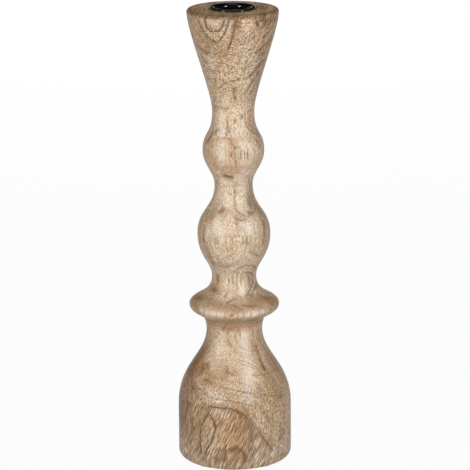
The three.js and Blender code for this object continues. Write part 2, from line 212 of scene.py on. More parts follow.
# The wood's figure: knots, streaks and patches that its growth left at single places, and
# with them painted light: many pale strokes on the shoulder, collar, waists and beads are a
# painted sheen of the lamps on the oil, and the wide brown and dark bands at the left and
# right edges and under the collar are painted shade. Each stroke has a kind, a half width in
# millimetres, a strength, and the points that it runs through, as millimetres above the
# table and degrees to the right of the front.
DARK, RED, PALE = range(3)
FIGURE_AND_PAINTED_LIGHT = [
    # On the base block: an arch, and below it a lens-shaped knot, fingers and embers of dark wood
    (DARK, 1.1, 0.9, (45, -27), (45, -11), (45, -4), (43, 0), (40, 11)),
    (DARK, 2.4, 0.6, (40, 10), (36, 14), (33, 14)),
    (DARK, 2.6, 0.4, (36, 15), (31, 21), (26, 26)),
    (DARK, 0.8, 0.7, (31, 22), (24, 28), (18, 36), (13, 41)),
    (DARK, 0.7, 0.6, (57, -53), (53, -36), (50, -26), (50, -3), (46, 16), (45, 23)),
    (DARK, 1.7, 0.5, (43, 28), (41, 31), (35, 36)),
    (DARK, 0.7, 0.6, (58, -17), (56, 1), (53, 23), (48, 55)),
    (DARK, 0.9, 0.7, (55, -57), (50, -45), (46, -31)),
    (DARK, 2, 0.6, (44, -28), (40, -29)),
    (DARK, 0.8, 0.9, (39, -28), (35, -33), (30, -37), (19, -38), (12, -36)),
    (DARK, 0.9, 0.95, (39, -25), (34, -20), (30, -20), (21, -24), (13, -32)),
    (DARK, 0.8, 0.6, (28, -33), (31, -33), (32, -29), (30, -26), (27, -26), (24, -32)),
    (DARK, 2.3, 0.65, (12, -33), (8, -34)),
    (DARK, 1.1, 0.7, (16, -16), (10, -20)),
    (DARK, 0.9, 0.8, (20, -9), (14, -12)),
    (RED, 1.6, 0.6, (13, -17), (8, -19)),
    (RED, 2, 0.7, (15, -10), (11, -10)),
    (RED, 1.5, 0.9, (16, -4), (18, 1), (17, 6), (11, 11)),
    (DARK, 0.9, 0.6, (17, -4), (18, 1), (17, 6), (11, 11)),
    (RED, 2.6, 0.5, (10, -7), (9, 7)),
    (DARK, 2.2, 0.65, (15, -12), (9, -13)),
    (DARK, 1.8, 0.5, (16, -1), (16, 5)),
    (DARK, 2, 0.6, (13, 9), (9, 10)),
    (DARK, 0.9, 0.5, (11, -21), (6, -20)),
    (DARK, 0.9, 0.6, (9, -5), (6, -6)),
    (DARK, 0.8, 0.6, (14, 20), (8, 15)),
    (DARK, 0.8, 0.5, (11, 31), (7, 27)),
    (DARK, 1.1, 0.4, (22, 63), (16, 44)),
    (RED, 2.2, 0.4, (24, 60), (20, 52)),
    (DARK, 0.9, 0.9, (55, -65), (48, -59), (42, -56)),
    (DARK, 1.1, 0.8, (42, -56), (37, -59), (30, -64), (24, -72)),
    (RED, 3, 0.8, (50, -87), (44, -78), (35, -77)),
    (RED, 2.4, 0.5, (57, -79), (50, -67)),
    (RED, 2, 0.6, (56, -57), (53, -46)),
    (DARK, 0.9, 0.55, (17, -68), (12, -55)),
    (DARK, 1, 0.6, (23, -51), (29, -46)),
    (RED, 3, 0.2, (34, -14), (23, -4)),
    (DARK, 0.7, 0.55, (47, 40), (42, 49)),
    (DARK, 0.7, 0.55, (47, 53), (47, 71)),
    (RED, 1.8, 0.55, (52, 63), (48, 57)),
    # Wide brown and dark bands near the left and right edges, at 70 to 85 degrees: painted shade where
    # the base and shoulder turn away from the lamps.
    (RED, 9, 0.75, (66, -76), (44, -66), (28, -72)),
    (DARK, 7, 0.52, (74, -80), (60, -76), (44, -70), (34, -74)),
    (RED, 7, 0.6, (88, -84), (72, -74)),
    (RED, 9, 0.2, (84, -4), (66, -2)),
    (RED, 7, 0.45, (84, 80), (68, 70), (56, 76)),
    (PALE, 4, 0.3, (9, 8), (10, 30), (12, 60)),
    (PALE, 6, 0.2, (30, 22), (20, 20), (12, 16)),
    # On the shoulder, whose finest lines lie one above the other
    # A brown ring all round just under the collar: painted shade where the collar shades the neck.
    (RED, 4, 0.7, (97, -70), (95, -20), (95, 20), (97, 70)),
    (DARK, 1.1, 0.4, (97, -15), (92, -24)),
    (DARK, 0.8, 0.4, (96, 2), (94, 7), (89, 13)),
    (DARK, 0.9, 0.36, (91, 41), (86, 42)),
    # Pale strokes on the shoulder, broadest just right of the front: a painted sheen of the lamps on the
    # oil.
    (PALE, 2.2, 0.45, (90, -26), (85, -25)),
    (RED, 2, 0.5, (83, 37), (78, 38)),
    (PALE, 4.5, 0.8, (92, 18), (82, 19), (76, 21), (68, 20), (61, 17)),
    (PALE, 4, 0.6, (60, 14), (50, 13)),
    (PALE, 2.6, 0.35, (83, -32), (78, -29)),
    (PALE, 2.4, 0.35, (72, -45), (69, -33)),
    (PALE, 2.8, 0.5, (53, -31), (51, -14)),
    (PALE, 2.4, 0.25, (58, -52), (54, -33)),
    *((DARK, 0.45, 0.4, (low + 3, 10), (low + 2, 20), (low, 27)) for low in (68, 70, 73, 75, 78)),
    (DARK, 0.45, 0.4, (72, 28), (70, 36), (69, 42)),
    (RED, 1.6, 0.8, (80, 45), (71, 44), (66, 45)),
    (DARK, 0.9, 0.7, (69, 43), (66, 45)),
    (DARK, 0.7, 0.5, (64, 23), (63, 45), (64, 70)),
    (DARK, 1, 0.6, (58, 75), (56, 72)),
    (RED, 2, 0.5, (73, 61), (68, 60)),
    (RED, 2.4, 0.3, (58, 53), (55, 53)),
    (DARK, 1.1, 0.55, (62, -66), (55, -56)),
    (DARK, 1, 0.65, (69, -53), (66, -49)),
    (DARK, 0.9, 0.5, (69, -42), (67, -39)),
    (RED, 2.2, 0.7, (69, -44), (63, -50)),
    (RED, 2.4, 0.6, (63, -65), (59, -61)),
    (RED, 2.2, 0.35, (64, -35), (62, -28)),
    (DARK, 0.9, 0.6, (67, -11), (65, -2)),
    (DARK, 0.7, 0.5, (64, -17), (61, -15)),
    (RED, 2.2, 0.5, (68, -11), (64, -11)),
    (DARK, 0.5, 0.4, (61, -40), (60, -28), (59, -15), (60, -3)),
    (DARK, 0.5, 0.35, (63, -27), (61, 2), (60, 11)),
    (DARK, 0.5, 0.35, (54, -10), (52, 14)),
    # On the collar, with short strokes round its lower edge
    *((DARK, 0.5, 0.4, (107, turn), (104, turn))
      for turn in (-52, -41, -34, -23, -12, 4, 12, 21, 33, 43, 52)),
    (DARK, 2.2, 0.5, (111, -88), (111, -64)),
    (RED, 2.8, 0.5, (112, -61), (114, -45)),
    (DARK, 1, 0.5, (112, -50), (113, -40)),
    (RED, 2.4, 0.45, (109, -67), (106, -55)),
    (DARK, 1.1, 0.8, (112, -12), (113, -6), (114, 1)),
    (DARK, 1.1, 0.75, (117, -17), (115, -18)),
    (DARK, 0.8, 0.75, (111, 12), (110, 22), (110, 33)),
    (DARK, 0.6, 0.45, (111, 0), (109, 12)),
    (RED, 3.2, 0.6, (114, 38), (112, 54), (111, 75)),
    (DARK, 1.2, 0.55, (115, 53), (111, 65)),
    (RED, 2.6, 0.45, (109, 59), (106, 59)),
    # Pale strokes along the collar's lower edge: painted light from the table and lamps.
    (PALE, 1.9, 0.75, (106, -39), (106, -28), (106, -17)),
    (PALE, 1.7, 0.7, (106, 3), (105, 16), (106, 30), (106, 43)),
    (DARK, 0.9, 0.6, (105, -5), (106, -2)),
    (PALE, 1.4, 0.4, (107, -48), (106, -44)),
    (RED, 3, 0.35, (110, -24), (109, -6), (108, 7)),
    (RED, 4, 0.4, (112, -40), (110, -20)),
    # On the lower waist
    (DARK, 0.9, 0.5, (131, -1), (134, 9), (136, 22), (135, 40), (131, 63)),
    (PALE, 1, 0.5, (133, -11), (135, 3), (137, 18)),
    (DARK, 0.9, 0.7, (130, 29), (130, 40), (127, 54), (122, 56), (119, 42), (115, 26)),
    (DARK, 0.8, 0.7, (128, 36), (125, 44), (122, 42)),
    (DARK, 1.7, 0.4, (127, 40), (122, 41)),
    (DARK, 0.6, 0.45, (131, 20), (127, 17), (122, 18)),
    (DARK, 0.6, 0.4, (131, 9), (125, 6), (120, 9)),
    (DARK, 0.8, 0.6, (120, 81), (118, 55), (115, 35)),
    (PALE, 1.1, 0.6, (117, 68), (116, 48)),
    (DARK, 1.5, 0.7, (127, -46), (123, -47)),
    (DARK, 1.7, 0.7, (118, -61), (117, -50)),
    (DARK, 0.7, 0.6, (126, -13), (123, -13)),
    (DARK, 0.7, 0.5, (127, -4), (125, -4)),
    # The broad pale stroke just right of the front: a painted highlight.
    (PALE, 1.9, 0.8, (122, 18), (117, 17)),
    (PALE, 1, 0.5, (126, -19), (122, -20)),
    (PALE, 0.8, 0.5, (125, -8), (121, -8)),
    (RED, 2.4, 0.5, (121, -62), (117, -41)),
    (RED, 1.8, 0.5, (121, 67), (117, 63)),
    # On the lower bead, with a row of short strokes at its widest
    # Wide brown and dark bands at the right edge: painted shade.
    (RED, 5, 0.5, (186, 66), (178, 62), (168, 66)),
    (DARK, 4, 0.2, (186, 70), (178, 66), (168, 70)),
    (RED, 1.5, 0.7, (173, -24), (171, -31)),
    (RED, 1.6, 0.7, (168, -42), (166, -46)),
    (DARK, 1.3, 0.3, (172, -27), (171, -30)),
    (DARK, 0.8, 0.5, (170, -66), (167, -63), (164, -56)),
    (RED, 2.4, 0.45, (171, -48), (167, -54)),
    (RED, 1.8, 0.6, (165, -79), (161, -70)),
    (DARK, 0.8, 0.55, (173, 5), (171, 11), (169, 23), (168, 34), (172, 59)),
    (DARK, 1.5, 0.75, (170, 34), (170, 42)),
    (DARK, 1.6, 0.6, (177, 43), (174, 46)),
    (DARK, 0.7, 0.45, (169, 0), (166, 9), (167, 22)),
    (DARK, 0.7, 0.45, (165, 3), (158, 8)),
    (PALE, 1.8, 0.5, (175, 16), (172, 20)),
    (RED, 1.8, 0.4, (167, 8), (167, 18)),
    # Pale patches either side of the front: a painted sheen of the side lamps on the oil.
    (PALE, 3.2, 0.5, (166, -33), (161, -25), (157, -22)),
    (PALE, 3, 0.7, (164, 20), (162, 26), (159, 27)),
    (PALE, 1.6, 0.4, (161, -47), (156, -44)),
    (RED, 1.8, 0.7, (163, 61), (158, 58), (150, 53)),
    (DARK, 0.7, 0.5, (165, 58), (161, 56)),
    (RED, 1.3, 0.7, (161, -58), (152, -55), (147, -51)),
    (RED, 2.2, 0.7, (147, -51), (141, -46), (136, -46)),
    (DARK, 0.9, 0.6, (154, -56), (150, -53)),
    *((DARK, 0.7, 0.48, (156, turn), (152, turn)) for turn in (-32, -26, -2, 14, 21)),
    (DARK, 0.6, 0.45, (149, -11), (147, -9)),
    (DARK, 0.8, 0.55, (146, 25), (144, 35), (141, 49)),
    (DARK, 2.6, 0.3, (137, -31), (136, -14), (137, 4)),
    (PALE, 1.6, 0.45, (147, 23), (142, 28)),
    # On the waist between the beads
    (DARK, 1.2, 0.7, (195, -21), (194, -12), (194, -4)),
    (RED, 1.9, 0.9, (195, -22), (194, -6)),
    (RED, 2.6, 0.4, (197, -22), (197, -8), (198, 10)),
    (PALE, 1, 0.6, (192, 12), (195, 21), (197, 34)),
    (DARK, 0.8, 0.27, (198, 32), (193, 13), (187, 4)),
    (RED, 1.3, 0.2, (188, 3), (174, 3)),
    (DARK, 1, 0.35, (187, 3), (174, 3)),
    (DARK, 1.2, 0.33, (195, 42), (188, 55)),
    (RED, 2, 0.4, (188, 48), (181, 46)),
    (DARK, 1.5, 0.36, (179, 48), (175, 49)),
    (RED, 2.2, 0.5, (194, -48), (186, -57)),
    # Pale patches either side of the front: a painted sheen of the side lamps on the oil.
    (PALE, 1.8, 0.4, (184, -25), (175, -18)),
    (PALE, 1.9, 0.4, (185, 19), (175, 16)),
    # On the upper bead and the waist above it, with dots and a row of short strokes
    (RED, 1.5, 0.8, (222, -58), (219, -58), (216, -61)),
    (DARK, 1, 0.45, (216, -69), (211, -67)),
    (RED, 1.9, 0.3, (220, -8), (216, -2), (209, -1)),
    (DARK, 0.8, 0.3, (220, -8), (215, 2)),
    (DARK, 0.8, 0.6, (211, -4), (209, -4)),
    (DARK, 0.7, 0.4, (213, 2), (202, 5)),
    (DARK, 0.8, 0.5, (236, 34), (232, 32), (228, 34), (225, 42), (222, 51)),
    (PALE, 0.8, 0.6, (236, 29), (227, 29)),
    (DARK, 0.8, 0.6, (224, 45), (222, 58), (219, 66)),
    (RED, 1.8, 0.5, (236, 48), (230, 49), (225, 53)),
    (DARK, 1.3, 0.55, (218, 54), (214, 60)),
    *((DARK, 0.6, 0.7, (212, turn), (208, turn)) for turn in (14, 21, 27)),
    # Pale patches either side of the front: a painted sheen of the side lamps on the oil.
    (PALE, 3.4, 0.6, (217, 20), (215, 25)),
    (PALE, 4, 0.45, (212, 24), (204, 20)),
    (PALE, 1.2, 0.5, (206, 16), (207, 27)),
    (PALE, 3.6, 0.35, (216, -25), (211, -21), (204, -19)),
    (PALE, 1.8, 0.55, (232, -37), (227, -33), (222, -28)),
    (DARK, 1, 0.6, (232, -16), (223, -15)),
    *((DARK, 0.9, 0.8, (height, turn), (height - 1, turn))
      for height, turn in ((225, -10), (223, -16), (215, 3), (224, -45), (234, 25), (231, 4))),
    (PALE, 1.6, 0.5, (225, 12), (224, 19)),
    (RED, 3.4, 0.3, (200, -25), (202, -1), (201, 18)),
    (RED, 2.4, 0.35, (206, -39), (200, -37)),
    # On the flared head: rings round a branch at the left, slanting rings and dots at the right
    (DARK, 1, 1, (299, -36), (295, -36), (292, -33), (291, -26), (292, -18), (294, -13), (300, -10)),
    (DARK, 0.9, 0.7, (291, -30), (292, -18), (294, -14)),
    (DARK, 1, 0.95, (298, -47), (294, -45), (287, -36), (285, -29), (284, -21), (287, -15),
     (290, -11), (295, -6), (300, -5)),
    (DARK, 0.8, 0.7, (281, -67), (279, -58), (277, -48), (276, -36), (276, -23), (279, -16)),
    (DARK, 0.6, 0.4, (271, -61), (269, -50), (269, -37), (271, -25)),
    (PALE, 2.2, 0.5, (298, -30), (295, -24), (299, -16)),
    (PALE, 1.2, 0.35, (297, -41), (292, -38), (289, -31)),
    (PALE, 1.4, 0.4, (298, -8), (294, -9), (289, -14)),
    (PALE, 1.6, 0.4, (300, -2), (291, -6)),
    (PALE, 2.8, 0.45, (299, 15), (295, 21), (292, 20)),
    (PALE, 1.2, 0.6, (297, 35), (295, 37)),
    (PALE, 6, 0.3, (284, 20), (272, 22), (260, 14)),
    (DARK, 1.6, 1, (299, 4), (295, 3)),
    (RED, 1.5, 1, (300, 6), (295, 6)),
    (RED, 0.9, 0.7, (299, 10), (295, 9)),
    (DARK, 1.1, 0.9, (294, 2), (289, 0), (284, -3), (280, -6), (276, -11)),
    (RED, 1.2, 0.6, (294, 3), (286, -1), (281, -5)),
    (RED, 1.6, 0.8, (279, -59), (277, -51), (276, -43)),
    (RED, 1.6, 0.5, (272, -55), (269, -53)),
    *((DARK, 0.9, 0.75, (height, turn), (height - 1, turn + 2))
      for height, turn in ((273, -20), (264, -42), (255, -41), (285, 9), (260, 9), (247, 4))),
    (PALE, 0.8, 0.35, (268, -13), (264, -17), (261, -29), (258, -47)),
    (PALE, 0.8, 0.35, (258, -7), (254, -15), (252, -28)),
    (DARK, 0.8, 0.8, (257, -12), (255, -20), (253, -29)),
    (RED, 1.6, 0.7, (253, 3), (246, 4)),
    (DARK, 0.8, 0.6, (252, 2), (250, 3)),
    (DARK, 0.6, 0.4, (268, -8), (260, -8)),
    (DARK, 0.6, 0.6, (282, 15), (285, 17), (288, 20), (290, 26)),
    (DARK, 0.6, 0.45, (284, 23), (286, 28), (288, 30)),
    (DARK, 0.6, 0.45, (279, 12), (283, 16)),
    (DARK, 0.5, 0.35, (274, 27), (279, 32), (283, 36)),
    (DARK, 0.5, 0.35, (269, 22), (274, 27)),
    (DARK, 1.6, 1, (298, 37), (298, 41)),
    (DARK, 1.2, 1, (298, 44), (296, 47), (294, 43)),
    (DARK, 1.3, 0.75, (295, 42), (293, 39)),
    (DARK, 1.3, 0.7, (296, 54), (292, 50)),
    (RED, 1.8, 1, (298, 44), (298, 62)),
    (RED, 3.2, 1, (298, 54), (297, 64), (295, 76)),
    (DARK, 1.4, 0.6, (298, 50), (298, 58)),
    (RED, 2, 0.5, (283, 68), (280, 50), (276, 42)),
    (DARK, 1.2, 1, (299, 29), (297, 31), (294, 34)),
    (DARK, 1.5, 0.8, (298, 30), (295, 33)),
    (DARK, 1.1, 0.85, (298, 36), (299, 41)),
    (DARK, 0.8, 0.6, (296, 43), (298, 47)),
    (DARK, 0.8, 0.6, (296, 67), (292, 60), (288, 52)),
    (DARK, 0.9, 1, (292, 64), (289, 54), (286, 46)),
    (DARK, 0.9, 1, (284, 70), (281, 54), (278, 43), (276, 37)),
    (DARK, 0.6, 0.5, (279, 75), (278, 58), (275, 53)),
    (DARK, 0.8, 0.9, (271, 63), (266, 50), (262, 43)),
    (RED, 1.6, 0.6, (282, 52), (278, 44), (273, 53)),
    (DARK, 1.2, 1, (270, 55), (265, 43), (260, 33)),
    (DARK, 1.6, 0.7, (268, 51), (261, 36)),
    (DARK, 1.3, 0.6, (258, 46), (254, 38), (250, 33)),
    (DARK, 0.9, 1, (262, 55), (257, 43), (254, 37)),
    (DARK, 0.6, 0.5, (261, 60), (257, 51)),
    (DARK, 0.6, 0.6, (257, 59), (252, 48)),
    (DARK, 0.8, 0.6, (252, 52), (249, 42), (246, 36)),
    (RED, 1.6, 0.6, (254, 57), (249, 48), (244, 46)),
    (RED, 1.6, 0.5, (266, 62), (260, 63)),
    # Wide brown and dark bands at the right edge of the flare: painted shade.
    (RED, 5, 0.4, (264, 70), (254, 66), (246, 66)),
    (DARK, 4, 0.15, (264, 74), (254, 70), (246, 70)),
    (PALE, 1.1, 0.35, (268, 41), (263, 34), (258, 28)),
    (RED, 1.5, 0.5, (245, -54), (238, -60)),
    (DARK, 0.8, 0.55, (239, -63), (239, -44)),
    (DARK, 0.7, 0.45, (239, -31), (239, -14)),
    (PALE, 1.8, 0.3, (273, -41), (271, -34)),
    (PALE, 2, 0.35, (244, -28), (241, -19)),
    # Up both sides of the blank, browner bands: painted shade where the wood turns away from the front
    *((RED, 8, 0.22, *((height, side) for height in range(80, 250, 10))) for side in (-80, 80)),
]

# A stroke is a patch with a soft edge, unless it is dark and its half width is under
# LINE_WIDTH: then it is a sharp line, which fades out just past its ends.
FAR_SIDE_SHARE = 0.7
CORNER_ROUNDS = 2
CORNER_CUT = 0.25
PATCH_SOFTNESS = 1.1
PATCH_REACH = 3
LINE_WIDTH = 1.3
LINE_REACH = 2.0
LINE_MARGIN = 0.7
LINE_FADE = 1.3
LINE_LAYERS = 3


def on_wood(height, azimuth):
    """The point in millimetres on the wood's outside, at a height and an azimuth."""
    heights = [z * 1000 for r, z in wood_outline]
    radii = [r * 1000 for r, z in wood_outline]
    radius = numpy.interp(height, heights, radii)
    turn = math.radians(azimuth)
    return numpy.array((radius * math.sin(turn), -radius * math.cos(turn), height))


def smooth_line(points):
    """The points on the wood of a line that rounds off the corners between its given points."""
    line = numpy.array(points, float)
    for again in range(CORNER_ROUNDS):
        early = line[:-1] * (1 - CORNER_CUT) + line[1:] * CORNER_CUT
        late = line[:-1] * CORNER_CUT + line[1:] * (1 - CORNER_CUT)
        between = numpy.stack((early, late), 1).reshape(-1, 2)
        line = numpy.vstack((line[:1], between, line[-1:]))
    return [on_wood(*point) for point in line]


def off_line(places, line):
    """Each place's distance from a line on the wood, and how far it lies beside it, with a sign."""
    outward = places * (1, 1, 0)
    outward = outward / (numpy.linalg.norm(outward, axis=1)[:, None] + 1e-9)
    gap = numpy.full(len(places), numpy.inf)
    beside = numpy.zeros(len(places))
    for start, end in zip(line, line[1:]):
        along = end - start
        share = numpy.clip((places - start) @ along / (along @ along), 0, 1)
        here = numpy.linalg.norm(places - start - share[:, None] * along, axis=1)
        across = numpy.cross(outward, along / numpy.linalg.norm(along))
        closer = here < gap
        beside[closer] = ((places - start) * across).sum(axis=1)[closer]
        gap[closer] = here[closer]
    return gap, beside


def far_side(strokes):
    """The strokes where the figure comes out at the back of the blank, mirrored and weaker, with
    the painted sheen and painted shade among them mirrored too.
    """
    return [
        (kind, half_width, strength * FAR_SIDE_SHARE, *((height, 180 - turn) for height, turn in points))
        for kind, half_width, strength, *points in strokes
    ]


def lay_line(offsets, strengths, near, gap, beside, half_width, strength):
    """Lays a line, as the offset beside it in half widths, in the emptiest layer there."""
    past_end = numpy.sqrt(numpy.maximum(gap ** 2 - beside ** 2, 0))
    window = numpy.clip((LINE_REACH - gap) / LINE_MARGIN, 0, 1)
    window *= numpy.clip(1 - past_end / LINE_FADE, 0, 1)
    taken = [(kept[near] * (gap < 2 * LINE_REACH)).sum() for kept in strengths.T[:LINE_LAYERS]]
    layer = int(numpy.argmin(taken))
    laid = strength * window
    stronger = laid > strengths[near, layer]
    offsets[near[stronger], layer] = beside[stronger] / half_width
    strengths[near[stronger], layer] = laid[stronger]


def draw_figure_and_painted_light(piece):
    """Keeps the figure, with its painted sheen and painted shade, at each corner of the mesh,
    as colours that the finish reads.
    """
    mesh = piece.data
    places = numpy.empty(len(mesh.vertices) * 3)
    mesh.vertices.foreach_get("co", places)
    places = places.reshape(-1, 3) * 1000
    patches, offsets, strengths = numpy.zeros((3, len(places), 4))
    for kind, half_width, strength, *points in FIGURE_AND_PAINTED_LIGHT + far_side(FIGURE_AND_PAINTED_LIGHT):
        thin = kind == DARK and half_width < LINE_WIDTH
        line = smooth_line(points)
        middle = numpy.mean(line, axis=0)
        reach = numpy.linalg.norm(line - middle, axis=1).max()
        reach += 2 * LINE_REACH if thin else PATCH_REACH * half_width
        near = numpy.flatnonzero(numpy.linalg.norm(places - middle, axis=1) < reach)
        gap, beside = off_line(places[near], line)
        if thin:
            lay_line(offsets, strengths, near, gap, beside, half_width, strength)
        else:
            soft = strength * numpy.exp(-((gap / (PATCH_SOFTNESS * half_width)) ** 2))
            patches[near, kind] = numpy.maximum(patches[near, kind], soft)
    for name, values in (("figure_and_painted_light", patches), ("line_offsets", offsets), ("line_strengths", strengths)):
        mesh.attributes.new(name, "FLOAT_COLOR", "POINT").data.foreach_set("color", values.ravel())


draw_figure_and_painted_light(turned_wood)


def feed(socket, value):
    """Links a node's input to another node's output, or sets it to a value."""
    if isinstance(value, bpy.types.NodeSocket):
        value.id_data.links.new(value, socket)
    else:
        socket.default_value = value


def node(kind, inputs=None, tree=None, **settings):
    """A new node in a tree, or else in the tree of the outputs that feed it."""
    inputs = inputs or {}
    if tree is None:
        tree = next(value.id_data for value in inputs.values() if isinstance(value, bpy.types.NodeSocket))
    made = tree.nodes.new(kind)
    for setting, value in settings.items():
        setattr(made, setting, value)
    for name, value in inputs.items():
        feed(made.inputs[name], value)
    return made


def number(operation, *values):
    return node("ShaderNodeMath", dict(enumerate(values)), operation=operation).outputs[0]


plus = partial(number, "ADD")
minus = partial(number, "SUBTRACT")
times = partial(number, "MULTIPLY")
larger = partial(number, "MAXIMUM")


def vector(operation, *values):
    made = node("ShaderNodeVectorMath", dict(enumerate(values)), operation=operation)
    return made.outputs["Value" if operation == "LENGTH" else "Vector"]


shift = partial(vector, "ADD")
scale = partial(vector, "MULTIPLY")
length = partial(vector, "LENGTH")


def parts(place):
    return tuple(node("ShaderNodeSeparateXYZ", {"Vector": place}).outputs)


def joined(x, y, z=0):
    return node("ShaderNodeCombineXYZ", {"X": x, "Y": y, "Z": z}).outputs[0]


def noise(place, size, detail=2, rough=0.5, output="Fac"):
    cells = vector("DIVIDE", place, size)
    inputs = {"Vector": cells, "Scale": 1, "Detail": detail, "Roughness": rough}
    return node("ShaderNodeTexNoise", inputs).outputs[output]


def wander(place, size, reach):
    """A sideways shift of up to a reach that wanders from cell to cell."""
    centred = vector("SUBTRACT", noise(place, size, 1, output="Color"), (0.5,) * 3)
    return scale(centred, (2 * reach, 2 * reach, 0))


def layers(depth, detail, rough):
    inputs = {"W": depth, "Scale": 1, "Detail": detail, "Roughness": rough}
    return node("ShaderNodeTexNoise", inputs, noise_dimensions="1D").outputs["Fac"]


def ease(value, low, high, start=0, end=1):
    """A value between low and high, eased to between start and end."""
    inputs = {"Value": value, "From Min": low, "From Max": high, "To Min": start, "To Max": end}
    return node("ShaderNodeMapRange", inputs, interpolation_type="SMOOTHSTEP").outputs["Result"]


def dashes(place, size, core, edge):
    """1 in the middle of each cell's dash, 0 beyond its edge."""
    inputs = {"Vector": vector("DIVIDE", place, size), "Scale": 1}
    return ease(node("ShaderNodeTexVoronoi", inputs).outputs["Distance"], edge, core)


def mix(share, first, second, blend="MIX"):
    inputs = {0: share, 6: first, 7: second}
    return node("ShaderNodeMix", inputs, data_type="RGBA", blend_type=blend).outputs[2]


def bump(height, metres, **normal):
    inputs = {"Height": height, "Distance": metres, "Strength": 1, **normal}
    return node("ShaderNodeBump", inputs).outputs["Normal"]


class Finish:
    """A material in the making."""

    def __init__(self, name):
        self.material = bpy.data.materials.new(name)
        self.material.use_nodes = True
        self.tree = self.material.node_tree
        self.shader = self.tree.nodes["Principled BSDF"]

    def place(self):
        """The place on the piece, in millimetres."""
        return scale(node("ShaderNodeTexCoord", tree=self.tree).outputs["Object"], (1000,) * 3)

    def drawn(self, name):
        """The three values that the mesh keeps under a name."""
        kept = node("ShaderNodeAttribute", tree=self.tree, attribute_name=name).outputs["Color"]
        return tuple(node("ShaderNodeSeparateColor", {"Color": kept}).outputs)

    def surface(self, inputs):
        for name, value in inputs.items():
            feed(self.shader.inputs[name], value)


def paint(red, green, blue):
    """A colour given as it looks on a screen, from 0 to 255."""
    return (*((level / 255) ** 2.2 for level in (red, green, blue)), 1)


# Where things lie in the blank, in millimetres: heights are above the table, X is to the right
# and Y to the back. A slope is a fall or a lean for each millimetre sideways or upwards.
SHORT_FIBRE_HEIGHT = 244
BENT_FIBRE_HEIGHT = 256
ARCH_HEIGHT = 45.5
ARCH_X = 2
ARCH_SLOPE = 1.2
EDGE_ROUGHNESS = 8
BASE_LEAN = 0.45
BRANCH_X = -6
BRANCH_HEIGHT = 307
PITH = (34, 96, 0)
BROAD_LAYER = 5.5
THIN_LAYER = 1.5
BASE_TOP = (52, 66)
LOWER_WAIST = (104, 128)
UPPER_BEAD = (184, 214)
HEAD_FOOT = (232, 256)
HEAD_FIBRES = (232, 250)
FOOT_EDGE = (6, 26)
TOP_EDGE = (298.8, 299.7)
HONEY_SPOT = (-5, 25.71)
KNOT_EYE = (-18, 26)
CURLS = ((-21, -5), (19, 6))
CUP_SHADE = (15.4, 16.2)


